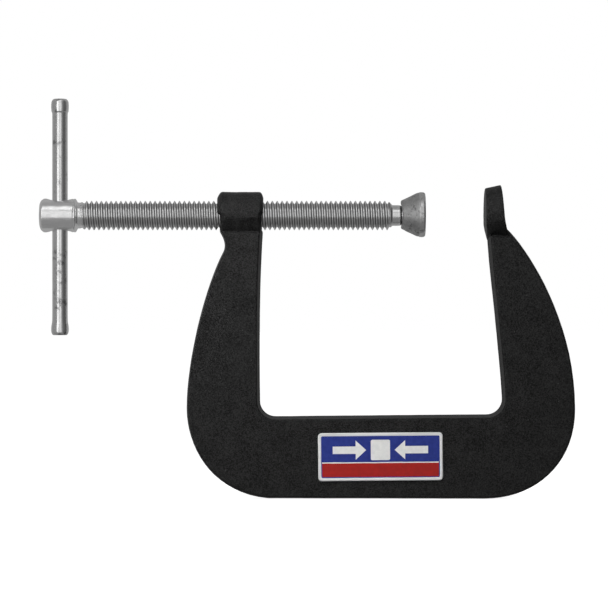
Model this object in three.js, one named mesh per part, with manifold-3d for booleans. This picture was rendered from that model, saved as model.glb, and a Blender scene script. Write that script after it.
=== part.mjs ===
// A deep-throat C clamp: a forged frame, a 3/8 in - 16 screw with a sliding tommy bar,
// a swivel pad crimped on the screw's ball end, and a foil label on the frame.
//
// Millimetres. The origin is the centre of the anvil's face, on the screw's axis.
// +X runs from the screw's head to the anvil, +Z points away from the frame's spine,
// and -Y is the labelled side.

import * as THREE from 'three';
import { mergeVertices } from 'three/addons/utils/BufferGeometryUtils.js';
import Module from 'manifold-3d';

// ---------- Driving dimensions ----------

const GAP = 0.3; // between pieces that rest on each other

// Screw thread: 3/8 in - 16, right-hand
const PITCH = 25.4 / 16;
const CREST_R = 9.525 / 2;
const THREAD_DEPTH = 0.97;
const ROOT_R = CREST_R - THREAD_DEPTH;
const THREAD_START = -131;
const THREAD_END = -30.7;
const THREAD_SIDES = 12;

// Screw head, neck and tip
const HEAD_R = 5.5;
const HEAD_START = -144.9;
const HEAD_END = -132.5;
const NECK_R = 4.25;
const TIP_R = 3.35;
const TIP_END = -28.4;

// Tommy bar, with upset ends
const BAR_X = -138.3;
const BAR_R = 2.5;
const BAR_TOP = 37.9;
const BAR_BOTTOM = -38.9;
const BAR_END_R = 2.9;
const BAR_END_LENGTH = 4.3;

// Ball and swivel pad
const BALL_X = -25;
const BALL_R = 3.6;
const BALL_STEM_R = 2.6;
const PAD_FACE = -19.6;
const PAD_BACK = -27.6;
const PAD_RIM_R = 7.3;
const PAD_LIP_R = 4.5;
const PAD_MOUTH_R = 3.15;

// Frame plate
const PLATE_THICKNESS = 11;
const PARTING_LAND = 2;
const DRAFT = 0.85;
const SPINE_BOTTOM = -92;
const THROAT_CORNER_R = 5;

// Boss that carries the screw, and the anvil opposite it
const BOSS_START = -87.2;
const BOSS_END = -72;
const BOSS_R = 7.6;
const BOSS_SKIRT_Z = -5.4;
const ANVIL_R = 8.8;
const ANVIL_BACK_R = 9.9;
const ANVIL_THICKNESS = 5.5;

// Label
const LABEL_WIDTH = 40.3;
const LABEL_HEIGHT = 15.5;
const LABEL_THICKNESS = 0.3;
const LABEL_CORNER_R = 1.2;
const LABEL_CENTRE = [-34.3, -78.1];

// ---------- Materials ----------

const coating = new THREE.MeshStandardMaterial({ color: 0x1b1b1c, roughness: 0.62, metalness: 0 });
const zinc = new THREE.MeshStandardMaterial({ color: 0xb4b4b2, roughness: 0.32, metalness: 1 });
const padSteel = new THREE.MeshStandardMaterial({ color: 0x8e8e8c, roughness: 0.5, metalness: 1 });
const foil = new THREE.MeshStandardMaterial({ color: 0x2b3f8c, roughness: 0.4, metalness: 0.2 });

// ---------- Solids ----------

const wasm = await Module();
wasm.setup();

/** A closed geometry as a solid that can be joined and cut. */
function solid(geometry) {
  geometry.deleteAttribute('normal');
  geometry.deleteAttribute('uv');
  const merged = mergeVertices(geometry);
  const index = merged.index.array;
  const triangles = [];
  for (let i = 0; i < index.length; i += 3) {
    const [a, b, c] = [index[i], index[i + 1], index[i + 2]];
    if (a !== b && b !== c && c !== a) triangles.push(a, b, c);
  }
  return new wasm.Manifold(new wasm.Mesh({
    numProp: 3,
    vertProperties: new Float32Array(merged.attributes.position.array),
    triVerts: new Uint32Array(triangles),
  }));
}

/** A solid as a named mesh. */
function piece(name, body, material) {
  const { vertProperties, triVerts } = body.getMesh();
  const geometry = new THREE.BufferGeometry();
  geometry.setAttribute('position', new THREE.BufferAttribute(vertProperties, 3));
  geometry.setIndex(new THREE.BufferAttribute(triVerts, 1));
  geometry.computeVertexNormals();
  const mesh = new THREE.Mesh(geometry, material);
  mesh.name = name;
  return mesh;
}

/** A profile of [x, radius] points, from -X to +X, turned about the X axis. */
function turned(profile, sides = 32) {
  const points = profile.map(([x, r]) => new THREE.Vector2(r, x));
  return new THREE.LatheGeometry(points, sides).rotateZ(-Math.PI / 2);
}

/** Points [x, radius] on an arc about (centreX, 0), between two angles in degrees from +X. */
function ballArc(centreX, radius, fromDeg, toDeg, steps) {
  return Array.from({ length: steps + 1 }, (_, i) => {
    const angle = THREE.MathUtils.degToRad(fromDeg + ((toDeg - fromDeg) * i) / steps);
    return [centreX + radius * Math.cos(angle), radius * Math.sin(angle)];
  });
}

/**
 * A rod along X whose skin is a right-hand V thread. Its rows lie half a pitch apart, roots and crests
 * in turn, and each column is moved along by its share of a pitch. Both ends run out to the root.
 */
function threadedRod(rootR, crestR, start, length) {
  const rows = 2 * Math.ceil(length / PITCH) + 2;
  const geometry = new THREE.CylinderGeometry(rootR, rootR, length, THREAD_SIDES, rows);
  const position = geometry.attributes.position;
  for (let row = 0; row <= rows; row += 1) {
    for (let column = 0; column <= THREAD_SIDES; column += 1) {
      const along = (row - (2 * column) / THREAD_SIDES) * (PITCH / 2);
      const x = THREE.MathUtils.clamp(along, 0, length);
      const runOut = Math.min(1, x / PITCH, (length - x) / PITCH);
      const r = row % 2 ? rootR + (crestR - rootR) * runOut : rootR;
      const angle = (2 * Math.PI * (column % THREAD_SIDES)) / THREAD_SIDES;
      const vertex = row * (THREAD_SIDES + 1) + column;
      position.setXYZ(vertex, r * Math.sin(angle), length / 2 - x, r * Math.cos(angle));
    }
  }
  return geometry.rotateZ(Math.PI / 2).translate(start + length / 2, 0, 0);
}

// ---------- Frame ----------

/** The frame's outline, seen from -Y: x is X and y is Z. */
function frameOutline() {
  const throatRight = 5.3;
  const throatLeft = -73.3;
  const floorRight = -64.6;
  const floorLeft = -65.2;
  const outline = new THREE.Shape();
  // Outer edge: left neck, left limb, spine, right limb
  outline.moveTo(-86.4, -1);
  outline.lineTo(-86.4, -5);
  outline.bezierCurveTo(-84.9, -7.6, -84.2, -9.9, -85.3, -12);
  outline.bezierCurveTo(-89.6, -20.1, -97.1, -43.6, -97.1, -62.7);
  outline.bezierCurveTo(-97.1, -76.1, -88, SPINE_BOTTOM, -67.2, SPINE_BOTTOM);
  outline.lineTo(-0.5, SPINE_BOTTOM);
  outline.bezierCurveTo(15.8, SPINE_BOTTOM, 29.1, -81.2, 29.1, -62.7);
  outline.bezierCurveTo(29.1, -35, 14.4, -11.6, 6.8, -4.2);
  outline.bezierCurveTo(6, -3.4, 5.4, -1.5, ANVIL_THICKNESS - 0.3, 0.5);
  outline.lineTo(ANVIL_THICKNESS - 0.3, 5.5);
  // Throat: anvil side, floor, boss side
  outline.lineTo(0.7, 5.5);
  outline.lineTo(0.5, -7);
  outline.bezierCurveTo(1.4, -20, 4.6, -45, throatRight, floorRight + THROAT_CORNER_R);
  outline.absarc(throatRight - THROAT_CORNER_R, floorRight + THROAT_CORNER_R,
    THROAT_CORNER_R, 0, -Math.PI / 2, true);
  outline.absarc(throatLeft + THROAT_CORNER_R, floorLeft + THROAT_CORNER_R,
    THROAT_CORNER_R, -Math.PI / 2, -Math.PI, true);
  outline.bezierCurveTo(-73.4, -45, -73.6, -25, -72.4, -6);
  outline.lineTo(-72.4, -1);
  return outline;
}

/** The boss's section, seen along X: x is Y and y is Z. Its lower sides slope in to meet the plate. */
function bossSection() {
  const sideTilt = THREE.MathUtils.degToRad(6);
  const skirtHalfWidth = 5.3;
  const section = new THREE.Shape();
  section.moveTo(-skirtHalfWidth, BOSS_SKIRT_Z);
  section.lineTo(skirtHalfWidth, BOSS_SKIRT_Z);
  section.absarc(0, 0, BOSS_R, -sideTilt, Math.PI + sideTilt, false);
  return section;
}

function frame() {
  const plate = solid(new THREE.ExtrudeGeometry(frameOutline(), {
    depth: PARTING_LAND,
    bevelThickness: (PLATE_THICKNESS - PARTING_LAND) / 2,
    bevelSize: DRAFT,
    bevelOffset: -DRAFT,
    bevelSegments: 1,
    curveSegments: 12,
  }).rotateX(Math.PI / 2).translate(0, PARTING_LAND / 2, 0));

  const endRounding = 1.1;
  const boss = solid(new THREE.ExtrudeGeometry(bossSection(), {
    depth: BOSS_END - BOSS_START - 2 * endRounding,
    bevelThickness: endRounding,
    bevelSize: 2.2,
    bevelOffset: -2.2,
    bevelSegments: 3,
    curveSegments: 20,
  }).rotateX(Math.PI / 2).rotateZ(Math.PI / 2).translate(BOSS_START + endRounding, 0, 0));

  const anvil = solid(turned([
    [0, 0],
    [0, ANVIL_R - 0.6],
    [0.6, ANVIL_R],
    [ANVIL_THICKNESS - 0.6, ANVIL_BACK_R],
    [ANVIL_THICKNESS, ANVIL_BACK_R - 0.5],
    [ANVIL_THICKNESS, 0],
  ]));

  // The boss's thread: the screw's own thread grown by the gap, cut from a whole number of pitches away
  const pitchesToBoss = Math.floor((BOSS_START - THREAD_START) / PITCH) - 2;
  const tap = solid(threadedRod(
    ROOT_R + GAP,
    CREST_R + GAP,
    THREAD_START + pitchesToBoss * PITCH,
    BOSS_END - BOSS_START + 6 * PITCH,
  ));
  const mouthR = CREST_R + GAP + 0.5;
  const mouths = [[BOSS_START, 1], [BOSS_END, -1]].map(([x, inward]) => {
    const profile = [[-1, 0], [-1, mouthR + 1], [1.6, mouthR - 1.6], [1.6, 0]];
    const placed = profile.map(([along, r]) => [x + along * inward, r]);
    return solid(turned(inward > 0 ? placed : placed.reverse()));
  });

  return plate.add(boss).add(anvil).subtract(tap).subtract(mouths[0]).subtract(mouths[1]);
}

// ---------- Screw and what it carries ----------

function spindle() {
  const coreR = ROOT_R - 0.4; // well inside the thread's flat-sided root
  const core = solid(turned([
    [HEAD_START, 0],
    [HEAD_START, 3.4],
    [HEAD_START + 1.3, HEAD_R - 0.3],
    [HEAD_START + 1.9, HEAD_R],
    [HEAD_END - 0.9, HEAD_R],
    [HEAD_END - 0.4, HEAD_R - 0.4],
    [HEAD_END, NECK_R],
    [THREAD_START - 0.1, NECK_R],
    [THREAD_START + 0.4, coreR],
    [THREAD_END - 0.2, coreR],
    [THREAD_END + 0.3, TIP_R],
    [TIP_END, TIP_R],
    [TIP_END, 0],
  ]));
  const thread = solid(threadedRod(ROOT_R, CREST_R, THREAD_START, THREAD_END - THREAD_START));

  // Cross hole for the tommy bar, with its mouths dished
  const holeR = BAR_R + GAP;
  const hole = solid(new THREE.LatheGeometry([
    [0, -7], [5.2, -7], [4.6, -5.2], [holeR, -4.4], [holeR, 4.4], [4.6, 5.2], [5.2, 7], [0, 7],
  ].map(([r, z]) => new THREE.Vector2(r, z)), 24).rotateX(Math.PI / 2).translate(BAR_X, 0, 0));

  return core.add(thread).subtract(hole);
}

function tommyBar() {
  const upset = (end, inward) => [
    [end, 0],
    [end, BAR_END_R - 0.9],
    [end + 0.3 * inward, BAR_END_R - 0.35],
    [end + 1.1 * inward, BAR_END_R],
    [end + (BAR_END_LENGTH - 0.8) * inward, BAR_END_R],
    [end + BAR_END_LENGTH * inward, BAR_R],
  ];
  const profile = [...upset(BAR_BOTTOM, 1), ...upset(BAR_TOP, -1).reverse()];
  return solid(turned(profile, 24).rotateY(-Math.PI / 2).translate(BAR_X, 0, 0));
}

function ballTip() {
  const stemAngle = 180 - THREE.MathUtils.radToDeg(Math.asin(BALL_STEM_R / BALL_R));
  return solid(turned([
    [TIP_END + GAP, 0],
    [TIP_END + GAP, BALL_STEM_R],
    ...ballArc(BALL_X, BALL_R, stemAngle, 0, 8),
  ], 24));
}

function swivelPad() {
  const socketR = BALL_R + GAP;
  const mouthAngle = 180 - THREE.MathUtils.radToDeg(Math.asin(PAD_MOUTH_R / socketR));
  return solid(turned([
    ...ballArc(BALL_X, socketR, 0, mouthAngle, 8),
    [PAD_BACK, PAD_MOUTH_R],
    [PAD_BACK, PAD_LIP_R - 0.3],
    [PAD_BACK + 0.3, PAD_LIP_R],
    [PAD_FACE - 2.1, PAD_RIM_R - 0.3],
    [PAD_FACE - 1.4, PAD_RIM_R],
    [PAD_FACE - 0.5, PAD_RIM_R],
    [PAD_FACE, PAD_RIM_R - 0.6],
    [PAD_FACE, 0],
  ], 24));
}

// ---------- Label ----------

function label() {
  const [w, h, r] = [LABEL_WIDTH / 2, LABEL_HEIGHT / 2, LABEL_CORNER_R];
  const quarter = Math.PI / 2;
  const outline = new THREE.Shape();
  outline.absarc(w - r, h - r, r, 0, quarter);
  outline.absarc(r - w, h - r, r, quarter, 2 * quarter);
  outline.absarc(r - w, r - h, r, 2 * quarter, 3 * quarter);
  outline.absarc(w - r, r - h, r, 3 * quarter, 4 * quarter);
  const tilt = THREE.MathUtils.degToRad(0.5);
  const front = -PLATE_THICKNESS / 2 - GAP;
  return solid(new THREE.ExtrudeGeometry(outline, {
    depth: LABEL_THICKNESS,
    bevelEnabled: false,
    curveSegments: 4,
  }).rotateZ(tilt).rotateX(Math.PI / 2).translate(LABEL_CENTRE[0], front, LABEL_CENTRE[1]));
}

// ---------- Clamp ----------

const clamp = new THREE.Group();
clamp.add(
  piece('clamp_frame', frame(), coating),
  piece('label_plate', label(), foil),
  piece('screw_spindle', spindle(), zinc),
  piece('tommy_bar', tommyBar(), zinc),
  piece('ball_tip', ballTip(), zinc),
  piece('swivel_pad', swivelPad(), padSteel),
);

export default clamp;
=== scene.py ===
"""A small C clamp standing on a pale floor: a powder-coated forging, a zinc-plated screw with its
tommy bar and ball tip, a crimped swivel pad and a printed foil label. Shapes are worked out in
millimetres, in the frame's axes, and scaled to metres when they become meshes."""

import math

import bmesh
import bpy
import numpy as np
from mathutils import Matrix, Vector
from mathutils.geometry import delaunay_2d_cdt


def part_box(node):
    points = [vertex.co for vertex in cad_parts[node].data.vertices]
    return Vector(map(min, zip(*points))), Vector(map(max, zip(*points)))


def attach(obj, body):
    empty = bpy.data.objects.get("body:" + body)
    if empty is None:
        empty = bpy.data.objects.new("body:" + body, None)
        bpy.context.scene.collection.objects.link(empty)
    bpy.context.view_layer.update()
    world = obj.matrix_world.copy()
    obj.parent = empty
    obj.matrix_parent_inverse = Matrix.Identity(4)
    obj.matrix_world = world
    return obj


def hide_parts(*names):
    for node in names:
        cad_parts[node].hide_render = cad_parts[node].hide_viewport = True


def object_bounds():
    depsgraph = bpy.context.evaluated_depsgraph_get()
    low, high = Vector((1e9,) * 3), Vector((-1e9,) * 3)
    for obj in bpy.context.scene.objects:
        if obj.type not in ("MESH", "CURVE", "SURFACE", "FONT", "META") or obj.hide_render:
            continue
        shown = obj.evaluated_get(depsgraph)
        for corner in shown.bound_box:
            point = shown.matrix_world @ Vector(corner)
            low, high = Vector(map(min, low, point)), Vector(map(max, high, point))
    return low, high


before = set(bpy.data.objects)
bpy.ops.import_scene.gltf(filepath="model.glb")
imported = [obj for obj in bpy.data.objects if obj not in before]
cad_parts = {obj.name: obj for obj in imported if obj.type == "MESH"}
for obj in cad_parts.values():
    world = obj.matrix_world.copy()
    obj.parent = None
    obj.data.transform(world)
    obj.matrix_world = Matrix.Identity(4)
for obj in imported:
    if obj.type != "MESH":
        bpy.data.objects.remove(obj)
cad_low, cad_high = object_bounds()

MM = 0.001


# ---------- Sizes that the frame gives, in millimetres ----------

def box_mm(node):
    """The lowest and highest corner of a CAD node."""
    low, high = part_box(node)
    return np.array(low) / MM, np.array(high) / MM


SCREW_LOW, SCREW_HIGH = box_mm("screw_spindle")
BAR_LOW, BAR_HIGH = box_mm("tommy_bar")
_, BALL_HIGH = box_mm("ball_tip")
PAD_LOW, PAD_HIGH = box_mm("swivel_pad")
LABEL_LOW, LABEL_HIGH = box_mm("label_plate")
FORGING_LOW, FORGING_HIGH = box_mm("clamp_frame")

# ---------- Sizes of the details, in millimetres ----------

# Thread: 3/8 in - 16
PITCH = 25.4 / 16
CREST_R = 9.525 / 2
ROOT_R = CREST_R - 0.97
THREAD_START = SCREW_LOW[0] + 12.9
THREAD_END = SCREW_HIGH[0] - 2.3
BORE_CLEARANCE = 0.34  # between the screw's thread and the boss's, in radius

# Screw head and neck
HEAD_R = SCREW_HIGH[2]
HEAD_LENGTH = 12.4
NECK_R = 4.2
TIP_R = 3.35
BAR_X = (BAR_LOW[0] + BAR_HIGH[0]) / 2
BAR_R = 2.5
BAR_HOLE_R = 2.75

# Pad: how far its cone's axis lies above its socket's
OFF_CENTRE = 0.26

# Frame
PLATE_HALF = 5.5
LAND_HALF = 0.9
INNER_DRAFT = 0.85
OUTER_DRAFT = 0.45
BOSS_START, BOSS_END = -87.95, -71.55
BOSS_R = 7.65
CREASE_Z = -1.0
ANVIL_R, ANVIL_BACK_R, ANVIL_THICKNESS = 8.85, 10.05, 5.5
SHOULDER_AT_BOSS, SHOULDER_AT_ANVIL = -5.2, -6.4  # the height at which the plate's faces start to dip
SHOULDER_DIP = 1.5
THROAT_MIDDLE_X = -40
FLASH = 0.08  # how far the trimmed parting line stands out


# ---------- Shape tools ----------

def smooth_max(a, b, k):
    """The larger of two distances, with the corner between them rounded over about k."""
    return np.maximum(a, b) + np.maximum(k - np.abs(a - b), 0) ** 2 / (4 * k)


def smooth_min(a, b, k):
    """The smaller of two distances, with the corner between them filled over about k."""
    return -smooth_max(-a, -b, k)


def smooth_step(low, high, x):
    """0 before low and 1 after high, changing smoothly between; low may be the greater."""
    t = np.clip((x - low) / (high - low), 0, 1)
    return t * t * (3 - 2 * t)


def ripple(x, y, z, size, seed):
    """A smooth unevenness between about -1 and 1, with bumps about size across."""
    turns = 2 * math.pi / size
    total = 0
    for i in range(3):
        a, b, c = (math.sin(seed + 2.1 * i + 1.7 * j) for j in range(3))
        total = total + np.sin(turns * (0.8 + 0.3 * i) * (a * x + b * y + c * z) + 5 * seed + i)
    return total / 3


def slopes(distance, points, h=0.03):
    """The gradient of a distance function at each point."""
    columns = []
    for axis in range(3):
        shift = np.zeros(3)
        shift[axis] = h
        columns.append(distance(*(points + shift).T) - distance(*(points - shift).T))
    return np.stack(columns, axis=1) / (2 * h)


def surface_of(distance, low, high, step):
    """The zero surface of distance(x, y, z) in a box, by surface nets: vertices, quads and normals."""
    axes = [np.arange(a, b + step, step) for a, b in zip(low, high)]
    field = distance(*np.meshgrid(*axes, indexing="ij"))
    inside = field < 0
    cells = tuple(n - 1 for n in field.shape)
    total = np.zeros((*cells, 3))
    crossings = np.zeros(cells)
    for axis in range(3):
        for corner in ((0, 0), (1, 0), (0, 1), (1, 1)):
            near = np.zeros(3, int)
            near[(axis + 1) % 3], near[(axis + 2) % 3] = corner
            far = near.copy()
            far[axis] = 1
            a = field[tuple(slice(o, o + n) for o, n in zip(near, cells))]
            b = field[tuple(slice(o, o + n) for o, n in zip(far, cells))]
            crossed = (a < 0) != (b < 0)
            share = a / np.where(crossed, a - b, 1)
            crossings += crossed
            total += crossed[..., None] * near
            total[..., axis] += crossed * share
    used = crossings > 0
    number = np.cumsum(used.ravel()).reshape(cells) - 1
    vertices = np.array(low) + step * (np.argwhere(used) + total[used] / crossings[used][:, None])

    quads = []
    for axis in range(3):
        first = np.take(inside, range(cells[axis]), axis)
        second = np.take(inside, range(1, cells[axis] + 1), axis)
        edges = np.argwhere(first != second)
        u, v = np.eye(3, dtype=int)[(axis + 1) % 3], np.eye(3, dtype=int)[(axis + 2) % 3]
        corners = [edges - u - v, edges - v, edges, edges - u]
        quad = np.stack([number[tuple(c.T)] for c in corners], axis=1)
        outward = first[tuple(edges.T)]
        quads.append(np.where(outward[:, None], quad, quad[:, ::-1]))

    for _ in range(3):
        slope = slopes(distance, vertices)
        move = slope * (distance(*vertices.T) / np.maximum((slope**2).sum(1), 0.2))[:, None]
        vertices = vertices - np.clip(move, -step / 2, step / 2)
    slope = slopes(distance, vertices)
    normals = slope / np.linalg.norm(slope, axis=1)[:, None]
    return vertices, np.concatenate(quads), normals


def rounded(points, steps=5):
    """A profile of (along, radius, fillet) corners as a list of points, with filleted corners curved."""
    corners = [np.array(p[:2], float) for p in points]
    out = [corners[0]]
    for i in range(1, len(points) - 1):
        here, fillet = corners[i], points[i][2] if len(points[i]) > 2 else 0
        if not fillet:
            out.append(here)
            continue
        back = (corners[i - 1] - here) / np.linalg.norm(corners[i - 1] - here)
        on = (corners[i + 1] - here) / np.linalg.norm(corners[i + 1] - here)
        for s in range(steps + 1):
            t = s / steps
            out.append(here + fillet * (back * (1 - t) ** 2 + on * t**2))
    out.append(corners[-1])
    return np.array(out)


def skin(rows, seam=None):
    """Vertices and faces of a closed skin through rows of points round an axis, first and last rows
    capped. A row's end meets its own start, or else the start of the row that seam names for it."""
    rows = np.array(rows)
    count, sides = rows.shape[:2]
    at = np.arange(count * sides).reshape(count, sides)
    turned_on = np.roll(at, -1, axis=1)
    if seam is not None:
        turned_on[:, -1] = at[seam, 0]
    faces = np.stack([at[:-1], turned_on[:-1], turned_on[1:], at[1:]], axis=-1).reshape(-1, 4).tolist()
    vertices = np.concatenate([rows.reshape(-1, 3), rows[:1].mean(1), rows[-1:].mean(1)])
    start, end = count * sides, count * sides + 1
    for j in range(sides):
        k = (j + 1) % sides
        faces.append([start, int(at[0, k]), int(at[0, j])])
        faces.append([end, int(at[-1, j]), int(at[-1, k])])
    return vertices, faces


def turned(profile, sides, axis="X"):
    """A solid turned about the X or Z axis, from (along, radius) points."""
    angles = 2 * math.pi * np.arange(sides) / sides
    across, up = np.cos(angles), np.sin(angles)
    rows = []
    for along, r in profile:
        flat = np.full(sides, along)
        columns = [flat, r * across, r * up] if axis == "X" else [r * across, r * up, flat]
        rows.append(np.stack(columns, axis=1))
    return skin(rows)


# ---------- Meshes and pieces ----------

def new_object(name, vertices_mm, faces, sharp_deg=None, normals=None):
    """A smooth-shaded object, with edges over sharp_deg left sharp or with normals of its own."""
    mesh = bpy.data.meshes.new(name)
    faces = faces.tolist() if isinstance(faces, np.ndarray) else faces
    mesh.from_pydata((np.asarray(vertices_mm) * MM).tolist(), [], faces)
    mesh.shade_smooth()
    mesh.validate()
    mesh.update()
    if sharp_deg is not None:
        mesh.set_sharp_from_angle(angle=math.radians(sharp_deg))
    if normals is not None:
        mesh.normals_split_custom_set_from_vertices(normals.tolist())
    obj = bpy.data.objects.new(name, mesh)
    bpy.context.scene.collection.objects.link(obj)
    return obj


def merged(obj, distance_mm=0.0005):
    """Merges the points of a mesh that lie on each other."""
    bm = bmesh.new()
    bm.from_mesh(obj.data)
    bmesh.ops.remove_doubles(bm, verts=bm.verts, dist=distance_mm * MM)
    bmesh.ops.dissolve_degenerate(bm, edges=bm.edges, dist=distance_mm * MM)
    bm.to_mesh(obj.data)
    bm.free()


def joined(obj, other, sharp_deg):
    """obj made one solid with other, which is then removed."""
    modifier = obj.modifiers.new("join", "BOOLEAN")
    modifier.operation = "UNION"
    modifier.solver = "EXACT"
    modifier.object = other
    depsgraph = bpy.context.evaluated_depsgraph_get()
    mesh = bpy.data.meshes.new_from_object(obj.evaluated_get(depsgraph), depsgraph=depsgraph)
    obj.modifiers.clear()
    obj.data = mesh
    mesh.shade_smooth()
    mesh.set_sharp_from_angle(angle=math.radians(sharp_deg))
    bpy.data.objects.remove(other)
    return obj


def finish_piece(obj, body, node, slot, *materials):
    """Gives a piece its materials and hands it to the frame in place of its CAD node."""
    for material in materials:
        obj.data.materials.append(material)
    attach(obj, body)
    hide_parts(node)
    return obj


# ---------- Materials ----------

class Nodes:
    """A new material with its Principled shader, and short ways to add nodes to it."""

    def __init__(self, name):
        self.material = bpy.data.materials.new(name)
        self.material.use_nodes = True
        self.tree = self.material.node_tree
        self.shader = self.tree.nodes["Principled BSDF"]
        self.place = self.tree.nodes.new("ShaderNodeTexCoord").outputs["Object"]

    def put(self, **values):
        """Sets the shader's own sockets."""
        for key, value in values.items():
            self.shader.inputs[key.replace("_", " ")].default_value = value

    def link(self, source, target):
        """Links to a socket, or to the shader's socket of that name."""
        self.tree.links.new(source, self.shader.inputs[target] if isinstance(target, str) else target)

    def stretched(self, scale):
        """The object's coordinates, in metres, multiplied along each axis."""
        node = self.tree.nodes.new("ShaderNodeMapping")
        node.inputs["Scale"].default_value = scale
        self.link(self.place, node.inputs["Vector"])
        return node.outputs["Vector"]

    def noise(self, scale, detail=3.0, roughness=0.5, place=None):
        """Noise with scale features per metre."""
        node = self.tree.nodes.new("ShaderNodeTexNoise")
        node.inputs["Scale"].default_value = scale
        node.inputs["Detail"].default_value = detail
        node.inputs["Roughness"].default_value = roughness
        self.link(place or self.place, node.inputs["Vector"])
        return node.outputs["Fac"]

    def cells(self, scale):
        """The distance to the nearest of scattered points, scale of them per metre."""
        node = self.tree.nodes.new("ShaderNodeTexVoronoi")
        node.inputs["Scale"].default_value = scale
        self.link(self.place, node.inputs["Vector"])
        return node.outputs["Distance"]

    def ramp(self, source, *stops):
        """A colour ramp through (position, colour or grey) stops."""
        node = self.tree.nodes.new("ShaderNodeValToRGB")
        elements = node.color_ramp.elements
        while len(elements) < len(stops):
            elements.new(0.5)
        for element, (position, colour) in zip(elements, stops):
            element.position = position
            element.color = (*colour, 1) if isinstance(colour, tuple) else (colour, colour, colour, 1)
        self.link(source, node.inputs["Fac"])
        return node.outputs["Color"]

    def mix(self, a, b, share, blend="MIX"):
        """Two colours or greys blended by share, each a socket or a value."""
        node = self.tree.nodes.new("ShaderNodeMix")
        node.data_type = "RGBA"
        node.blend_type = blend
        for socket, value in ((node.inputs["A"], a), (node.inputs["B"], b), (node.inputs["Factor"], share)):
            self.feed(socket, value)
        return node.outputs["Result"]

    def feed(self, socket, value):
        """Links a socket to value, or sets it to value."""
        if isinstance(value, bpy.types.NodeSocket):
            self.link(value, socket)
        elif socket.type == "RGBA":
            socket.default_value = (*value, 1) if isinstance(value, tuple) else (value, value, value, 1)
        else:
            socket.default_value = value

    def between(self, source, low, high):
        """A value's place between low and high, from 0 to 1."""
        node = self.tree.nodes.new("ShaderNodeMapRange")
        node.inputs["From Min"].default_value = low
        node.inputs["From Max"].default_value = high
        self.link(source, node.inputs["Value"])
        return node.outputs["Result"]

    def bump(self, height, depth_mm, strength):
        """Pushes the surface in and out by a height between 0 and 1, times depth_mm."""
        node = self.tree.nodes.new("ShaderNodeBump")
        node.inputs["Strength"].default_value = strength
        node.inputs["Distance"].default_value = depth_mm * MM
        self.link(height, node.inputs["Height"])
        self.link(node.outputs["Normal"], "Normal")


def powder_coat():
    """Fine-textured satin black: tiny grains, slow changes of gloss and a few pale specks of dust."""
    n = Nodes("black_powder_coat")
    grain = n.noise(3000, detail=3, roughness=0.6)
    patches = n.noise(160, detail=3)
    tone = n.ramp(n.mix(grain, patches, 0.25), (0.38, 0.005), (0.62, 0.021))
    specks = n.ramp(n.cells(420), (0.0, 0.12), (0.08, 0.0))
    n.link(n.mix(tone, specks, 0.5, "ADD"), "Base Color")
    n.link(n.ramp(n.mix(grain, patches, 0.5), (0.3, 0.40), (0.7, 0.50)), "Roughness")
    n.link(n.ramp(grain, (0.35, 0.04), (0.65, 0.16)), "Specular IOR Level")
    n.bump(grain, 0.04, 0.5)
    return n.material


def zinc(name, grain_scale, tone=(0.70, 0.84), gloss=(0.18, 0.3), depth_mm=0.008, stained=False):
    """Bright zinc plate over drawn or turned steel, with its grain stretched along one axis: the
    material's nodes, and the sockets of its colour and its roughness."""
    n = Nodes(name)
    grain = n.noise(1.0, detail=4, roughness=0.6, place=n.stretched(grain_scale))
    blotches = n.noise(330, detail=4, roughness=0.6)
    both = n.mix(grain, blotches, 0.4)
    plate = n.ramp(both, (0.3, tone[0]), (0.7, tone[1]))
    if stained:
        stains = n.ramp(n.noise(240, detail=6, roughness=0.75), (0.36, 0.4), (0.45, 1.0))
        plate = n.mix(plate, stains, 1.0, "MULTIPLY")
    n.link(plate, "Base Color")
    rough = n.ramp(both, (0.3, gloss[1]), (0.7, gloss[0]))
    n.link(rough, "Roughness")
    n.bump(both, depth_mm, 0.8)
    n.put(Metallic=1.0)
    return n, plate, rough


def thread_zinc():
    """The screw's plate, with painted shade darkening the thread's flanks and roots below its crests."""
    n, plate, rough = zinc("zinc_turned", (110, 1800, 1800), tone=(0.80, 0.94), gloss=(0.18, 0.28),
                           depth_mm=0.006)
    radius = n.tree.nodes.new("ShaderNodeVectorMath")
    radius.operation = "LENGTH"
    n.link(n.stretched((0, 1, 1)), radius.inputs[0])
    height = n.between(radius.outputs["Value"], ROOT_R * MM, CREST_R * MM)
    # painted shade by radius: darkest on the mid flanks, lighter at the roots and lightest at the crests
    painted_flank_shade = n.ramp(height, (0.0, 0.8), (0.2, 0.66), (0.5, 0.3), (0.8, 0.62), (0.95, 1.0))
    split = n.tree.nodes.new("ShaderNodeSeparateXYZ")
    n.link(n.place, split.inputs["Vector"])
    threaded = n.between(split.outputs["X"], (THREAD_START + 1) * MM, (THREAD_START + 2.5) * MM)
    n.link(n.mix(plate, n.mix(plate, painted_flank_shade, 1.0, "MULTIPLY"), threaded), "Base Color")
    n.link(n.mix(rough, 0.31, threaded), "Roughness")
    return n.material


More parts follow.
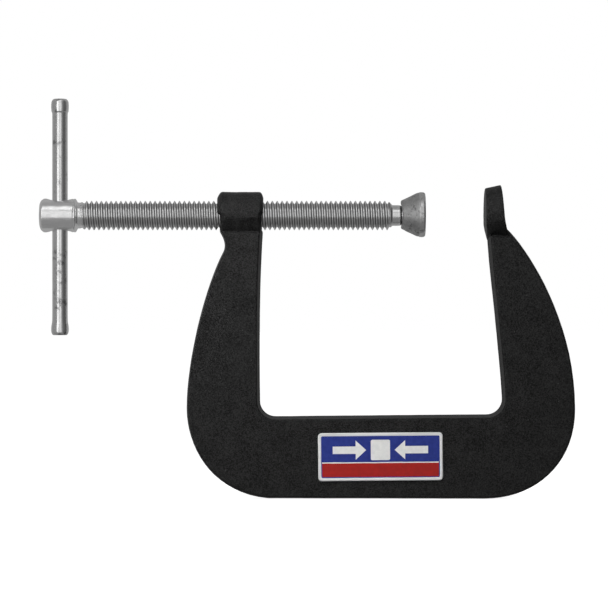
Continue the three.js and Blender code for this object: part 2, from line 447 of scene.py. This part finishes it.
def matte_zinc(rim_x):
    """The pad's duller plate, over cold-formed steel: pitted and marked, and smoother from rim_x on, where
    its lighter tone is a painted highlight.
    """
    n = Nodes("matte_zinc")
    pits = n.noise(1500, detail=5, roughness=0.65)
    blotches = n.noise(420, detail=4, roughness=0.6)
    both = n.mix(pits, blotches, 0.5)
    marks = n.ramp(n.noise(560, detail=6, roughness=0.75), (0.38, 0.5), (0.46, 1.0))
    split = n.tree.nodes.new("ShaderNodeSeparateXYZ")
    n.link(n.place, split.inputs["Vector"])
    rim = n.between(split.outputs["X"], rim_x * MM, (rim_x + 0.3) * MM)
    # painted highlight: the rim band's tone is lighter than the cone's, while its lower roughness below is
    # the rim's own smoother finish
    tone = n.mix(n.ramp(both, (0.3, 0.34), (0.7, 0.56)), n.ramp(both, (0.3, 0.5), (0.7, 0.66)), rim)
    n.link(n.mix(tone, marks, 1.0, "MULTIPLY"), "Base Color")
    n.link(n.mix(n.ramp(pits, (0.3, 0.56), (0.7, 0.44)), 0.34, rim), "Roughness")
    n.bump(both, 0.04, 0.8)
    n.put(Metallic=1.0)
    return n.material


def print_ink(name, colour, shade):
    """Ink on foil: an even colour with a faint mottle."""
    n = Nodes(name)
    mottle = n.noise(900, detail=3)
    n.link(n.ramp(mottle, (0.35, shade), (0.65, colour)), "Base Color")
    n.link(n.ramp(mottle, (0.3, 0.36), (0.7, 0.44)), "Roughness")
    n.bump(mottle, 0.004, 0.4)
    n.put(Specular_IOR_Level=0.25)
    return n.material


def foil_rim():
    """The bare foil round the print, brushed along its length."""
    n = Nodes("label_foil")
    brushed = n.noise(1.0, detail=3, place=n.stretched((120, 4000, 4000)))
    n.link(n.ramp(brushed, (0.3, 0.66), (0.7, 0.76)), "Base Color")
    n.link(n.ramp(brushed, (0.3, 0.42), (0.7, 0.30)), "Roughness")
    n.bump(brushed, 0.004, 0.5)
    n.put(Metallic=0.15)
    return n.material


# ---------- Frame ----------

def bezier(start, lead, follow, end, steps=18):
    """Points on a cubic curve, without its last point."""
    t = np.arange(steps)[:, None] / steps
    points = [np.array(p, float) for p in (start, lead, follow, end)]
    weights = [(1 - t) ** 3, 3 * (1 - t) ** 2 * t, 3 * (1 - t) * t**2, t**3]
    return sum(w * p for w, p in zip(weights, points))


def arc(centre, radius, from_deg, to_deg, steps=10):
    angles = np.radians(np.linspace(from_deg, to_deg, steps + 1))
    return np.array(centre) + radius * np.stack([np.cos(angles), np.sin(angles)], axis=1)


def outer_outline():
    """The outside of the forging in the X-Z plane, closed straight across between boss and anvil."""
    bottom, left, right = FORGING_LOW[2], FORGING_LOW[0], FORGING_HIGH[0]
    hip = -62.7  # where the limbs are widest
    back = ANVIL_THICKNESS - 0.3
    return np.concatenate([
        [[-86.7, -1]],
        bezier((-86.6, -5), (-84.9, -7.6), (-84.2, -9.9), (-85.3, -12)),
        bezier((-85.3, -12), (-89.6, -20.1), (left, -43.6), (left, hip)),
        bezier((left, hip), (left, -76.1), (-88, bottom), (-67.2, bottom)),
        bezier((-0.5, bottom), (15.8, bottom), (right, -81.2), (right, hip)),
        bezier((right, hip), (right, -35), (14.4, -11.6), (6.8, -4.2)),
        bezier((6.8, -4.2), (6, -3.4), (5.4, -1.5), (back, 0.5)),
        [[back, 0.5], [back, 5.5], [0.7, 5.5], [0.5, -1]],
    ])


def throat_outline():
    """The throat in the X-Z plane, left open well above the forging."""
    radius = 5.0
    left, right, floor_left, floor_right = -73.3, 5.3, -65.2, -64.6
    open_z = 20
    return np.concatenate([
        [[0.5, open_z]],
        bezier((0.5, -7), (1.4, -20), (4.6, -45), (right, floor_right + radius)),
        arc((right - radius, floor_right + radius), radius, 0, -90),
        arc((left + radius, floor_left + radius), radius, -90, -180),
        bezier((left, floor_left + radius), (-73.4, -45), (-73.6, -25), (-72.4, -6))[1:],
        [[-72.4, -6], [-72.4, open_z]],
    ])


def outline_distance(outline, step=0.25, margin=3.0):
    """A function giving the distance to an outline in the X-Z plane, negative inside, from a grid."""
    low, high = outline.min(0) - margin, outline.max(0) + margin
    x, z = np.meshgrid(*(np.arange(a, b + step, step) for a, b in zip(low, high)), indexing="ij")
    nearest = np.full(x.shape, np.inf)
    inside = np.zeros(x.shape, bool)
    for (ax, az), (bx, bz) in zip(outline, np.roll(outline, -1, axis=0)):
        length = (bx - ax) ** 2 + (bz - az) ** 2
        t = np.clip(((x - ax) * (bx - ax) + (z - az) * (bz - az)) / length, 0, 1)
        nearest = np.minimum(nearest, (x - ax - t * (bx - ax)) ** 2 + (z - az - t * (bz - az)) ** 2)
        if az != bz:
            inside ^= ((az > z) != (bz > z)) & (x < ax + (z - az) * (bx - ax) / (bz - az))
    table = np.where(inside, -1, 1) * np.sqrt(nearest)

    def distance(x, z):
        u = np.clip((x - low[0]) / step, 0, table.shape[0] - 1.001)
        v = np.clip((z - low[1]) / step, 0, table.shape[1] - 1.001)
        i, j = u.astype(int), v.astype(int)
        u, v = u - i, v - j
        return ((table[i, j] * (1 - u) + table[i + 1, j] * u) * (1 - v)
                + (table[i, j + 1] * (1 - u) + table[i + 1, j + 1] * u) * v)

    return distance


def plate_distance(outside, throat, x, y, z):
    """The flat body: walls drafted either side of a trimmed parting line, and crisp edges.
    Its faces dip in a little where they run in under the boss and the anvil."""
    away = np.abs(y)
    share = np.clip((away - LAND_HALF) / (PLATE_HALF - LAND_HALF), 0, 1)
    flash = FLASH * smooth_step(LAND_HALF + 0.2, LAND_HALF - 0.2, away)
    uneven = 0.03 * ripple(x, y, z, 21, 1.3) + 0.015 * ripple(x, y, z, 8, 4.1)
    outer = outside(x, z) + OUTER_DRAFT * share
    inner = -throat(x, z) + INNER_DRAFT * share
    wall = smooth_max(outer, inner, 0.3) - flash + uneven + FLASH
    shoulder = np.where(x < THROAT_MIDDLE_X, SHOULDER_AT_BOSS, SHOULDER_AT_ANVIL)
    dip = SHOULDER_DIP * smooth_step(shoulder - 0.9, shoulder + 0.7, z)
    face = away - PLATE_HALF + 0.02 + uneven + dip
    return smooth_max(wall, face, 0.45)


def boss_distance(x, y, z):
    """The boss: round above a wavy crease with a burr on it, and below it sides that turn in."""
    radius = np.hypot(y, z)
    crease = CREASE_Z + 0.3 * np.sin(0.9 * x + 1.0) + 0.15 * np.sin(1.9 * x)
    below = crease - z
    half_width = BOSS_R - 0.05 - 0.46 * below - 0.05 * np.maximum(below, 0) ** 2
    side = (np.abs(y) - half_width) * math.cos(math.radians(20))
    burr = 0.4 * np.exp(-(((z - crease) / 0.55) ** 2)) * smooth_step(-79, -75.5, x)
    section = smooth_max(radius - BOSS_R, side, 0.25) - burr
    lower = smooth_step(1.2, -0.3, z)
    start, end = BOSS_START + 1.1 * lower, BOSS_END - 0.6 * lower
    bulge = np.minimum(radius / BOSS_R, 1.15) ** 3
    ends = np.maximum(start + 2.0 * bulge - x, x - end + 1.5 * bulge)
    skirt = -7.0 - z
    uneven = 0.05 * ripple(x, y, z, 7, 2.6) + 0.02 * ripple(x, y, z, 2.3, 0.9)
    return smooth_max(smooth_max(section, ends, 0.6), skirt, 1.0) + uneven


def anvil_distance(x, y, z):
    """The anvil: a thick disc that widens towards its back, a little squat below and leaning back."""
    below = np.maximum(-2 - z, 0)
    radius = np.hypot(np.abs(y) + 0.1 * below + 0.1 * below**2, z)
    edge = radius - ANVIL_R - (ANVIL_BACK_R - ANVIL_R) * x / ANVIL_THICKNESS
    front = 0.13 * np.maximum(-3 - z, 0) - x - 0.22
    back = x - ANVIL_THICKNESS + 0.22 + 0.07 * (z - 5) - 0.03 * np.maximum(-z, 0) ** 2
    uneven = 0.04 * ripple(x, y, z, 6, 0.7)
    return smooth_max(edge + uneven, smooth_max(front, back, 0.4), 0.35)


def bore_distance(x, y, z):
    """The hole through the boss, flared at both mouths."""
    from_mouth = np.minimum(x - BOSS_START, BOSS_END - x)
    radius = CREST_R + BORE_CLEARANCE + np.clip(1.0 - from_mouth, 0, 1.6)
    ends = np.maximum(BOSS_START - 2 - x, x - BOSS_END - 2)
    return smooth_max(np.hypot(y, z) - radius, ends, 0.2)


def nut_thread(start, turns, sides=48):
    """The boss's own thread: a ridge that lies in the grooves of the screw's thread."""
    inner, outer = ROOT_R + BORE_CLEARANCE, CREST_R + BORE_CLEARANCE + 0.4
    section = [(-0.62, outer), (-0.09, inner), (0.09, inner), (0.62, outer)]
    rows = []
    for step in range(turns * sides + 1):
        angle = 2 * math.pi * step / sides
        along = start + PITCH * step / sides
        rows.append([(along + dx, r * math.sin(-angle), r * math.cos(-angle)) for dx, r in section])
    return skin(rows)


def vertex_normals(vertices, faces):
    """Area-weighted normals of a small mesh."""
    normals = np.zeros_like(vertices)
    for face in faces:
        a, b, c = vertices[face[0]], vertices[face[1]], vertices[face[2]]
        normals[face] += np.cross(b - a, c - a)
    return normals / np.maximum(np.linalg.norm(normals, axis=1), 1e-12)[:, None]


def make_frame():
    outside = outline_distance(outer_outline())
    throat = outline_distance(throat_outline())

    def forging(x, y, z):
        solid = plate_distance(outside, throat, x, y, z)
        solid = smooth_min(solid, boss_distance(x, y, z), 0.2)
        solid = smooth_min(solid, anvil_distance(x, y, z), 0.2)
        return smooth_max(solid, -bore_distance(x, y, z), 0.3)

    low, high = FORGING_LOW - 1.37, FORGING_HIGH + 1.37
    vertices, quads, normals = surface_of(forging, low, high, 0.5)
    first_turn = THREAD_START + PITCH * math.ceil((BOSS_START + 1.4 - THREAD_START) / PITCH)
    ridge, ridge_faces = nut_thread(first_turn, 7)
    faces = quads.tolist() + [[i + len(vertices) for i in face] for face in ridge_faces]
    obj = new_object("forged_frame", np.concatenate([vertices, ridge]), faces,
                     normals=np.concatenate([normals, vertex_normals(ridge, ridge_faces)]))
    return finish_piece(obj, "frame", "clamp_frame", "black_coating", powder_coat())


# ---------- Screw ----------

# One pitch of the thread, root to root: how far along it, and how high, both from 0 to 1
THREAD_FORM = [(0.0, 0.0), (0.09, 0.02), (0.14, 0.12), (0.27, 0.5), (0.385, 0.88), (0.43, 0.985),
               (0.5, 1.0), (0.57, 0.985), (0.615, 0.88), (0.73, 0.5), (0.86, 0.12), (0.91, 0.02)]


def thread_rows(start, end, start_r, end_r, sides):
    """Rows of points along a right-hand thread, from a neck of start_r to a chamfer at end_r."""
    angles = 2 * math.pi * np.arange(sides) / sides
    turns = math.ceil((end - start) / PITCH) + 2
    rows = []
    for turn in range(turns):
        for along, height in THREAD_FORM:
            x = start + PITCH * (turn - 1 + along) + PITCH * (1 - angles / (2 * math.pi))
            x = np.clip(x, start, end)
            floor = np.interp(x, [start, start + 2.2 * PITCH], [start_r, ROOT_R])
            roof = np.interp(x, [start, start + 1.6 * PITCH, end - 0.6 * PITCH, end],
                             [start_r, CREST_R, CREST_R, end_r])
            floor = np.minimum(floor, roof)
            r = floor + (roof - floor) * height
            rows.append(np.stack([x, r * np.sin(angles), r * np.cos(angles)], axis=1))
    return rows


def screw_thread():
    """The threaded length and the plain tip beyond it, as one turned skin."""
    sides = 72
    angles = 2 * math.pi * np.arange(sides) / sides
    tip = rounded([
        (THREAD_END, ROOT_R), (THREAD_END + 0.35, TIP_R, 0.12), (SCREW_HIGH[0], TIP_R),
        (SCREW_HIGH[0], TIP_R - 1.0),
    ])

    def ring(along, r):
        return np.stack([np.full(sides, along), r * np.sin(angles), r * np.cos(angles)], axis=1)

    core = [ring(SCREW_LOW[0] + 11, ROOT_R - 0.3), ring(THREAD_START, ROOT_R - 0.3)]
    thread = thread_rows(THREAD_START, THREAD_END, NECK_R - 0.05, ROOT_R, sides)
    rows = core + thread + [ring(along, r) for along, r in tip]
    # a turn on, each row of the thread meets the row one pitch back
    seam = np.arange(len(rows))
    threaded = slice(len(core), len(core) + len(thread))
    seam[threaded] = np.maximum(seam[threaded] - len(THREAD_FORM), len(core))
    vertices, faces = skin(rows, seam)
    return vertices, [face[::-1] for face in faces]


def head_distance(x, y, z):
    """The screw's head and neck, with the bar's hole dished at both mouths."""
    radius = np.hypot(y, z)
    along = x - SCREW_LOW[0]
    groove_at, groove_depth, groove_width = 11.1, 0.14, 0.2
    groove = groove_depth * np.exp(-(((along - groove_at) / groove_width) ** 2))
    barrel = radius - HEAD_R + 0.02 + groove

    def cone(from_along, from_r, slope_deg):
        slope = math.radians(slope_deg)
        return (radius - from_r) * math.cos(slope) - (along - from_along) * math.sin(slope)

    # the cone at the start is shorter on the two sides that the bar's hole leaves whole
    whole = smooth_step(5.2, 3.6, np.abs(z))
    start = smooth_max(cone(0, 3.9, 60), cone(0.6, 4.95 + 0.6 * whole, 32), 0.3)
    head = smooth_max(smooth_max(barrel, start, 0.12), -along + 0.02, 0.4)
    head = smooth_max(smooth_max(head, cone(HEAD_LENGTH, 4.3, -60), 0.3), along - HEAD_LENGTH, 0.2)
    neck_start, neck_end = 5, 13.3  # it starts well inside the head
    neck = np.maximum(np.maximum(radius - NECK_R, along - neck_end), neck_start - along)
    solid = smooth_min(head, neck, 0.3)

    from_bar = np.hypot(x - BAR_X, y)
    bowl_r, bowl_depth = 6.5, 1.25
    bowl = bowl_r - np.sqrt(from_bar**2 + (np.abs(z) - HEAD_R - bowl_r + bowl_depth) ** 2)
    solid = smooth_max(solid, bowl, 0.5)
    solid = smooth_max(solid, BAR_HOLE_R - from_bar, 0.25)
    return solid + 0.02 * ripple(x, y, z, 5, 3.3)


def make_screw():
    low = (SCREW_LOW[0] - 0.5, -6.1, -6.1)
    high = (SCREW_LOW[0] + 15, 6.1, 6.1)
    vertices, quads, _ = surface_of(head_distance, low, high, 0.18)
    head = new_object("screw", vertices, quads, sharp_deg=50)
    thread = new_object("thread", *screw_thread(), sharp_deg=60)
    merged(thread)
    screw = joined(head, thread, sharp_deg=42)
    return finish_piece(screw, "spindle", "screw_spindle", "zinc_steel", thread_zinc())


# ---------- Tommy bar, ball tip and pad ----------

def make_bar():
    """A drawn bar with both ends upset: the top one with a hard shoulder, the bottom one flared."""
    top, bottom, end_r = BAR_HIGH[2], BAR_LOW[2], BAR_HIGH[1] - 0.02
    profile = rounded([
        (bottom, 0), (bottom, end_r - 0.55, 0.3), (bottom + 0.7, end_r - 0.1, 0.35),
        (bottom + 1.9, end_r, 0.6), (bottom + 3.3, end_r - 0.12, 0.5),
        (bottom + 4.5, BAR_R + 0.04, 0.5), (bottom + 6.5, BAR_R, 0.5),
        (top - 5.2, BAR_R, 0.3), (top - 4.5, BAR_R + 0.05, 0.12), (top - 4.15, end_r - 0.1, 0.15),
        (top - 2.6, end_r, 0.6), (top - 0.9, end_r - 0.1, 0.4), (top, end_r - 0.7, 0.45), (top, 0),
    ])
    # points no more than about 0.8 mm apart, so that the swelling below shows
    dense = [profile[0]]
    for a, b in zip(profile, profile[1:]):
        pieces = max(1, round((b[0] - a[0]) / 0.8))
        dense += [a + (b - a) * (i + 1) / pieces for i in range(pieces)]
    vertices, faces = turned(dense[1:-1], 40, axis="Z")
    x, y, z = vertices.T
    near_end = np.maximum(smooth_step(bottom + 6, bottom + 3, z), smooth_step(top - 6, top - 4, z))
    swell = 1 + 0.012 * near_end * ripple(x, y, z, 4, 1.9) + 0.003 * ripple(x, y, z, 30, 0.4)
    vertices[:, :2] *= np.minimum(swell, 1)[:, None]
    bar = new_object("tommy_bar_rod", vertices + (BAR_X, 0, 0), faces, sharp_deg=50)
    drawn, *_ = zinc("zinc_drawn", (1500, 1500, 60), tone=(0.66, 0.80), stained=True)
    return finish_piece(bar, "bar", "tommy_bar", "zinc_steel", drawn.material)


def make_ball():
    """The ball and the end of the screw's tip, as thick as the tip to the pad's lip and then waisted."""
    ball_r, stem_r = BALL_HIGH[2], 2.8
    centre = BALL_HIGH[0] - ball_r
    angles = np.linspace(math.pi - math.asin(stem_r / ball_r), 0.05, 22)
    start = SCREW_HIGH[0] - 0.02
    profile = [(start, TIP_R - 0.6), (start, TIP_R - 0.02), (PAD_LOW[0] - 0.4, TIP_R - 0.02),
               (PAD_LOW[0], TIP_R - 0.12)]
    profile += [(centre + ball_r * math.cos(a), ball_r * math.sin(a)) for a in angles]
    ball = new_object("screw_ball", *turned(profile, 48), sharp_deg=40)
    turned_zinc, *_ = zinc("zinc_ball", (90, 1400, 1400))
    return finish_piece(ball, "ball", "ball_tip", "zinc_steel", turned_zinc.material)


def make_pad():
    """The pad: a cone crimped round the ball, formed a little off the socket's centre."""
    ball_r = BALL_HIGH[2]
    pivot = BALL_HIGH[0] - ball_r
    face, back, rim_r = PAD_HIGH[0], PAD_LOW[0], PAD_HIGH[2]
    lip_r, mouth_r, socket_r = 4.5, 3.2, ball_r + 0.3
    mouth_flare = 0.55  # keeps the lip clear of the stem when the pad is tilted
    rim_start = face - 2.2

    def pad(x, y, z):
        radius = np.hypot(y, z)
        outer_radius = np.hypot(y, z - OFF_CENTRE)
        angle = np.arctan2(y, z)
        crimp = 0.2 * (1 - np.cos(2 * angle + 0.25)) + 0.1 * np.sin(3 * angle) + 0.05
        cone_slope = (rim_r - lip_r) / (rim_start - back)
        lean = math.atan(cone_slope)
        cone = (outer_radius - lip_r - (x - back) * cone_slope) * math.cos(lean)
        band = outer_radius - rim_r + 0.02 + 0.16 * smooth_step(rim_start + 0.5, rim_start + 0.1, x)
        outside = smooth_max(cone, band, 0.25)
        outside = smooth_max(outside, x - face, 0.9)
        outside = smooth_max(outside, back + crimp - x, 0.45)
        socket = np.hypot(radius, x - pivot) - socket_r
        flare = mouth_flare * smooth_step(back + 1.5, back + 0.1, x)
        mouth = np.maximum(radius - mouth_r - flare, x - pivot)
        hollow = np.minimum(socket, mouth)
        dents = 0.05 * ripple(x, y, z, 3.4, 2.2) * smooth_step(face - 0.3, face - 1.2, x)
        return smooth_max(outside + dents, -hollow, 0.25)

    low, high = PAD_LOW - 0.5, PAD_HIGH + 0.5
    vertices, quads, normals = surface_of(pad, low, high, 0.22)
    obj = new_object("swivel_pad_cone", vertices, quads, normals=normals)
    return finish_piece(obj, "pad", "swivel_pad", "pad_steel", matte_zinc(rim_start))


# ---------- Label ----------

def rounded_rectangle(half_width, half_height, radius, steps=8):
    w, h = half_width - radius, half_height - radius
    quarters = [((w, h), 0), ((-w, h), 90), ((-w, -h), 180), ((w, -h), 270)]
    return np.concatenate([arc(c, radius, a, a + 90, steps) for c, a in quarters])


def inside_polygon(point, polygon):
    x, y = point
    hit = False
    for (ax, ay), (bx, by) in zip(polygon, np.roll(polygon, -1, axis=0)):
        if (ay > y) != (by > y) and x < ax + (y - ay) * (bx - ax) / (by - ay):
            hit = not hit
    return hit


def make_label():
    """A foil plate with a raised rim, printed with a plain sign: two arrows closing on a block."""
    low, high = LABEL_LOW, LABEL_HIGH
    width, height, tilt = 40.3, 15.5, math.radians(0.5)
    rim, bare = 1.0, 0.3  # the raised rim, and how far the print's outer colour shows round the picture
    line_height = 0.35
    outer = rounded_rectangle(width / 2, height / 2, 1.2)
    crest = rounded_rectangle(width / 2 - 0.25, height / 2 - 0.25, 0.95)
    inner = rounded_rectangle(width / 2 - rim, height / 2 - rim, 0.5)
    right, upper = width / 2 - rim - bare, height / 2 - rim - bare
    print_edge = rounded_rectangle(right, upper, 0.35)
    stripe_top = -upper + 4.4
    panel_middle = (upper + stripe_top) / 2
    block = rounded_rectangle(3.1, 3.3, 0.5, 3) + (0, panel_middle)
    arrow = np.array([(4.6, 0), (8.0, 3.1), (8.0, 1.2), (15.4, 1.2),
                      (15.4, -1.2), (8.0, -1.2), (8.0, -3.1)])
    arrows = [arrow + (0, panel_middle), (arrow * (-1, 1))[::-1] + (0, panel_middle)]
    line_top = stripe_top + line_height
    line = np.array([(-right, line_top), (-right, stripe_top), (right, stripe_top), (right, line_top)])

    loops = [outer, crest, inner, print_edge, block, *arrows, line]
    points, edges = [], []
    for loop in loops:
        first = len(points)
        points += [Vector(p) for p in loop]
        edges += [(first + i, first + (i + 1) % len(loop)) for i in range(len(loop))]
    flat, _, triangles, *_ = delaunay_2d_cdt(points, edges, [], 1, 1e-5)

    foil, white, blue, red = range(4)  # in the order of the materials below

    def slot_at(p):
        """The material at a point of the label's face."""
        if not inside_polygon(p, inner):
            return foil
        if not inside_polygon(p, print_edge):
            return blue
        if any(inside_polygon(p, sign) for sign in (block, *arrows)):
            return white
        if p[1] < stripe_top:
            return red
        return white if p[1] < line_top else blue

    front, back = low[1] - 0.02, -PLATE_HALF + 0.05
    flat = np.array([tuple(p) for p in flat])

    def lift(p):
        """How far back of the print a point lies: the rim's crest stands out, and its edge is turned down."""
        if any(np.allclose(p, q, atol=1e-4) for q in crest):
            return -0.1
        return 0.08 if any(np.allclose(p, q, atol=1e-4) for q in outer) else 0.0

    top = np.array([(p[0], front + lift(p), p[1]) for p in flat])
    edge = [int(np.argmin(((flat - q) ** 2).sum(1))) for q in outer]
    edge = [i for n, i in enumerate(edge) if i != edge[n - 1]]
    vertices = np.concatenate([top, top[edge] * (1, 0, 1) + (0, back, 0)])
    faces, slots = [], []
    for triangle in triangles:
        a, b, c = triangle
        turn = np.cross(flat[b] - flat[a], flat[c] - flat[a])
        faces.append([a, b, c] if turn > 0 else [a, c, b])
        slots.append(slot_at(flat[list(triangle)].mean(0)))
    under = [len(top) + i for i in range(len(edge))]
    for i, at in enumerate(edge):
        on = (i + 1) % len(edge)
        faces.append([at, under[i], under[on], edge[on]])
        slots.append(foil)
    faces.append(under)
    slots.append(foil)

    turn = np.array([[math.cos(tilt), 0, -math.sin(tilt)],
                     [0, 1, 0],
                     [math.sin(tilt), 0, math.cos(tilt)]])
    centre = np.array([(low[0] + high[0]) / 2, 0, (low[2] + high[2]) / 2])
    obj = new_object("printed_label", vertices @ turn.T + centre, faces, sharp_deg=20)
    obj.data.polygons.foreach_set("material_index", slots)
    return finish_piece(
        obj, "frame", "label_plate", "label_foil", foil_rim(),
        print_ink("label_white", (0.78, 0.78, 0.76), (0.72, 0.72, 0.71)),
        print_ink("label_blue", (0.017, 0.033, 0.23), (0.013, 0.026, 0.20)),
        print_ink("label_red", (0.38, 0.011, 0.008), (0.32, 0.010, 0.007)),
    )


# ---------- Stage ----------

def make_floor():
    """Pale paper just under the object, bright enough to meet the white behind it without a line."""
    half, gap = 6, 0.0001
    z = cad_low[2] - gap
    corners = [(-half, -half, z), (half, -half, z), (half, half, z), (-half, half, z)]
    mesh = bpy.data.meshes.new("floor")
    mesh.from_pydata(corners, [], [(0, 1, 2, 3)])
    floor = bpy.data.objects.new("floor", mesh)
    bpy.context.scene.collection.objects.link(floor)
    material = bpy.data.materials.new("floor_paper")
    material.use_nodes = True
    shader = material.node_tree.nodes["Principled BSDF"]
    shader.inputs["Base Color"].default_value = (0.8, 0.8, 0.8, 1)
    shader.inputs["Roughness"].default_value = 0.9
    shader.inputs["Emission Color"].default_value = (1, 1, 1, 1)
    shader.inputs["Emission Strength"].default_value = 0.93
    mesh.materials.append(material)
    floor.visible_diffuse = False
    floor.visible_glossy = False


def make_lamp(name, place, aim, width, height, radiance, mirrored=True):
    """A rectangular soft light of an even brightness, facing aim. Places are in metres."""
    lamp = bpy.data.lights.new(name, "AREA")
    lamp.shape = "RECTANGLE"
    lamp.size, lamp.size_y = width, height
    lamp.energy = radiance * math.pi * width * height
    obj = bpy.data.objects.new(name, lamp)
    obj.location = place
    obj.rotation_euler = (Vector(aim) - Vector(place)).to_track_quat("-Z", "Y").to_euler()
    obj.visible_camera = False
    obj.visible_glossy = mirrored
    bpy.context.scene.collection.objects.link(obj)


def make_world():
    """White paper behind and beside the object, and a dimmer room in front of it, darkest at the right."""
    world = bpy.data.worlds.new("studio")
    bpy.context.scene.world = world
    world.use_nodes = True
    nodes, links = world.node_tree.nodes, world.node_tree.links
    place = nodes.new("ShaderNodeTexCoord")
    split = nodes.new("ShaderNodeSeparateXYZ")
    links.new(place.outputs["Generated"], split.inputs["Vector"])

    def fade(axis, from_value, to_value, from_grey, to_grey):
        """A grey that changes as the direction's part along an axis goes from one value to another."""
        node = nodes.new("ShaderNodeMapRange")
        node.interpolation_type = "SMOOTHSTEP"
        values = (from_value, to_value, from_grey, to_grey)
        for name, value in zip(("From Min", "From Max", "To Min", "To Max"), values):
            node.inputs[name].default_value = value
        links.new(split.outputs[axis], node.inputs["Value"])
        return node.outputs["Result"]

    def share(source, when_0, when_1):
        """One value where source is 0, and another where it is 1."""
        node = nodes.new("ShaderNodeMapRange")
        node.inputs["To Min"].default_value = when_0
        node.inputs["To Max"].default_value = when_1
        links.new(source, node.inputs["Value"])
        return node.outputs["Result"]

    def join(operation, a, b):
        """Two greys put together."""
        node = nodes.new("ShaderNodeMath")
        node.operation = operation
        links.new(a, node.inputs[0])
        links.new(b, node.inputs[1])
        return node.outputs[0]

    room = join("MULTIPLY", fade("X", 0.5, 0.8, 0.32, 0.12), fade("Z", -0.6, -0.1, 0.8, 1.0))
    around = nodes["Background"]
    links.new(join("MAXIMUM", room, fade("Y", -0.05, 0.25, 0.0, 0.38)), around.inputs["Color"])
    paths = nodes.new("ShaderNodeLightPath")
    links.new(share(paths.outputs["Is Diffuse Ray"], 1.0, 0.35), around.inputs["Strength"])
    behind = nodes.new("ShaderNodeBackground")
    behind.inputs["Color"].default_value = (1, 1, 1, 1)
    mix = nodes.new("ShaderNodeMixShader")
    links.new(paths.outputs["Is Camera Ray"], mix.inputs["Fac"])
    links.new(around.outputs["Background"], mix.inputs[1])
    links.new(behind.outputs["Background"], mix.inputs[2])
    links.new(mix.outputs["Shader"], nodes["World Output"].inputs["Surface"])


def make_camera():
    """Square on to the labelled side, a metre away, level with the middle of the throat."""
    distance, width = 1.0, 0.1976  # the width is what the picture takes in at the object
    camera = bpy.data.cameras.new("camera")
    camera.sensor_width = 36
    camera.lens = camera.sensor_width * distance / width
    obj = bpy.data.objects.new("camera", camera)
    obj.location = (-0.059, -distance, -0.02876)
    obj.rotation_euler = (math.pi / 2, 0, 0)
    bpy.context.scene.collection.objects.link(obj)
    bpy.context.scene.camera = obj


# ---------- Scene ----------

make_frame()
make_screw()
make_bar()
make_ball()
make_pad()
make_label()
make_floor()
make_world()
make_camera()
AIM = (-0.06, 0, -0.03)
make_lamp("key", (-0.30, -0.35, 0.08), AIM, 0.15, 0.5, 1.35)
make_lamp("front", (0.01, -1.0, 0.12), AIM, 0.56, 0.86, 0.64)
make_lamp("front_upper", (0.0, -0.62, 0.78), AIM, 0.55, 0.42, 0.95)
make_lamp("side", (-0.15, -0.16, 0.09), AIM, 0.10, 0.10, 16.5, mirrored=False)
make_lamp("bounce", (0.0, -1.2, 0.3), AIM, 1.2, 1.2, 0.35, mirrored=False)
bpy.context.scene.view_settings.view_transform = "Standard"
